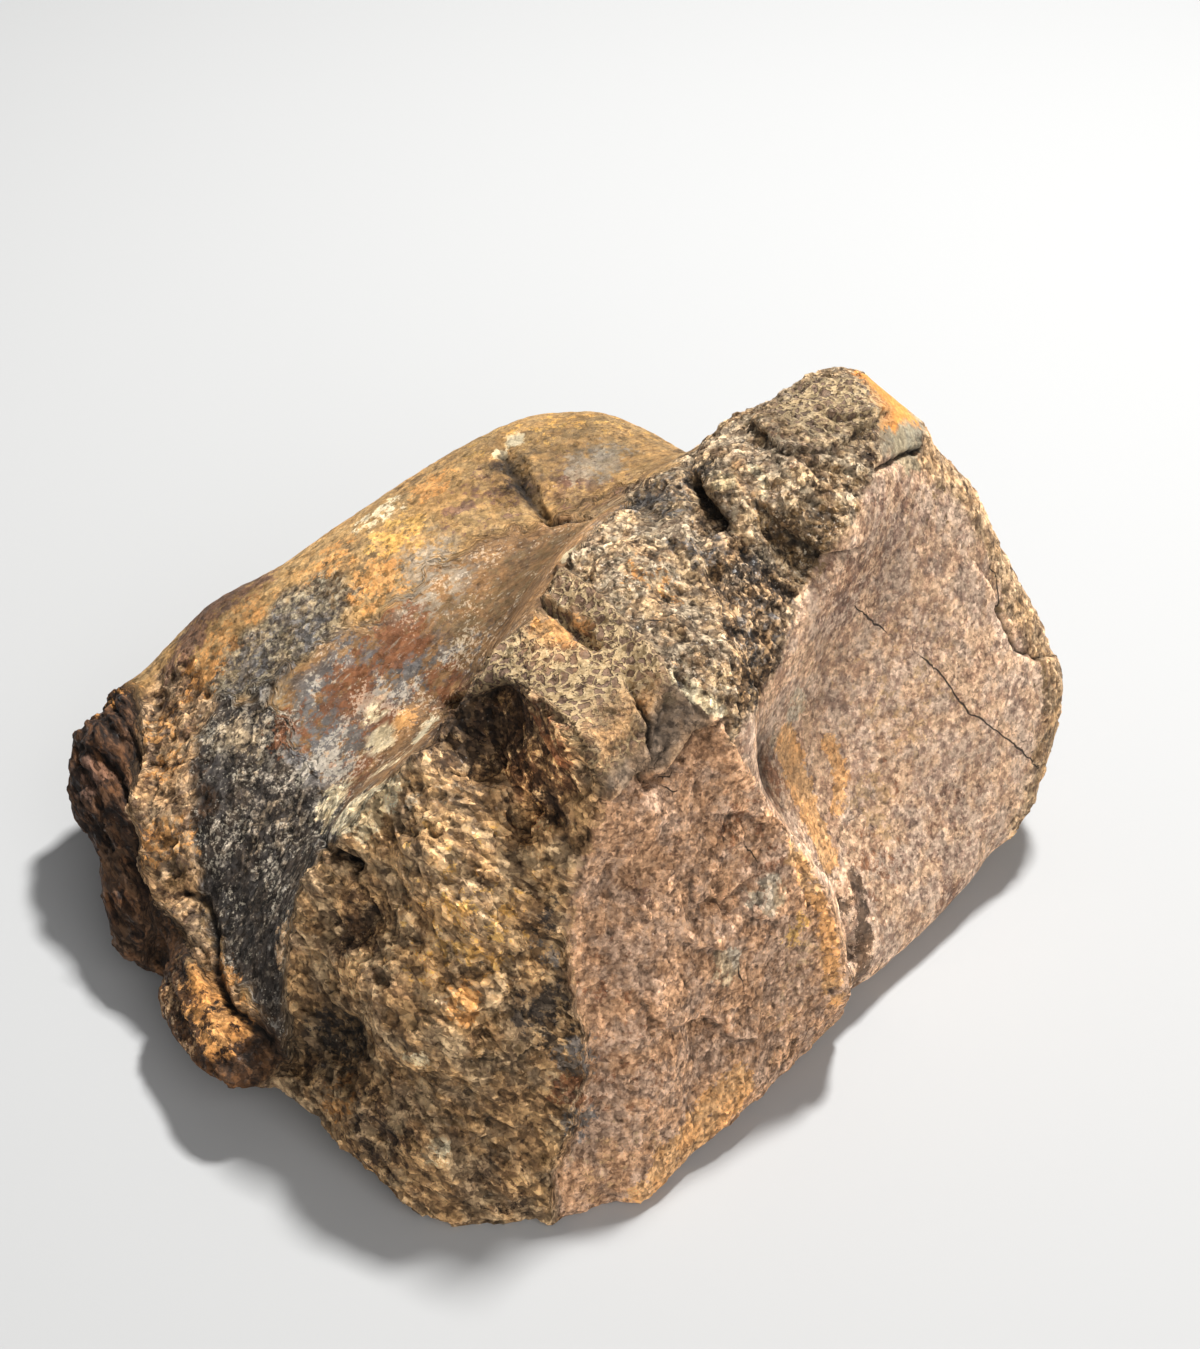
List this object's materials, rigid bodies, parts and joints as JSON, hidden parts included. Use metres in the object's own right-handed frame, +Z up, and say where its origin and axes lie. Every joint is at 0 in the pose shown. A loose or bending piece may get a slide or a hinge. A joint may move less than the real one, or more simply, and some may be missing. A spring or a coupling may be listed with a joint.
{
  "type": "fossil dinosaur toe bone",
  "caption": "Weathered, broken petrified toe bone with a saddle-shaped joint surface, a spongy break and a shallow hollow side, resting on its underside",
  "frame": {"origin": "centre of the bounding box's bottom face, at the level of the flat resting face", "axes": "+X runs along the longest extent from the fibrous end to the hollow side, +Y points away from the viewer of the picture, +Z up"},
  "size_m": [0.156, 0.122, 0.0814],
  "materials": {
    "fossil_bone": "matt weathered petrified bone, satin on the old joint surface"
  },
  "bodies": {
    "root": {"toe_bone": "fossil_bone"}
  },
  "joints": []
}
